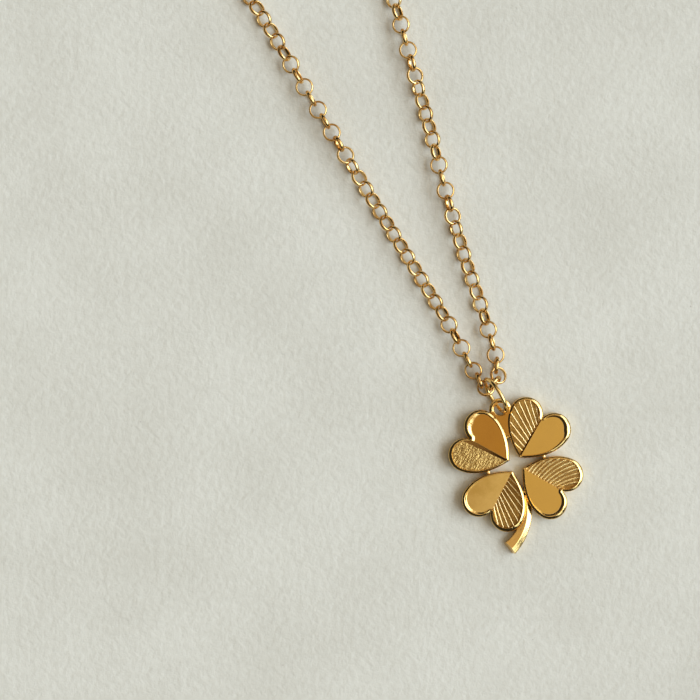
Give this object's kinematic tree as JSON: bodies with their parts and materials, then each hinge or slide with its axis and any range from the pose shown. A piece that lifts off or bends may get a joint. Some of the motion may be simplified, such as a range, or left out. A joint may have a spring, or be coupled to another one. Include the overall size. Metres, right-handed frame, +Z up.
{
  "type": "four leaf clover pendant",
  "caption": "Gold clover pendant with heart-shaped leaves, half smooth and half ribbed, on a jump ring and a closed belcher chain that lies flat.",
  "frame": {"origin": "middle of the necklace's box in plan, on the surface that it lies on", "axes": "+Z up off the surface; +Y along the chain's loop away from the pendant; +X to the right seen from above"},
  "size_m": [0.1014, 0.1846, 0.005],
  "materials": {
    "clover_gold": "polished, with satin and ribbed halves",
    "ring_gold": "polished",
    "chain_gold": "polished"
  },
  "bodies": {
    "root": {"clover": "clover_gold", "jump_ring": "ring_gold", "chain_right": "chain_gold", "chain_left": "chain_gold", "clasp": "ring_gold"}
  },
  "joints": []
}
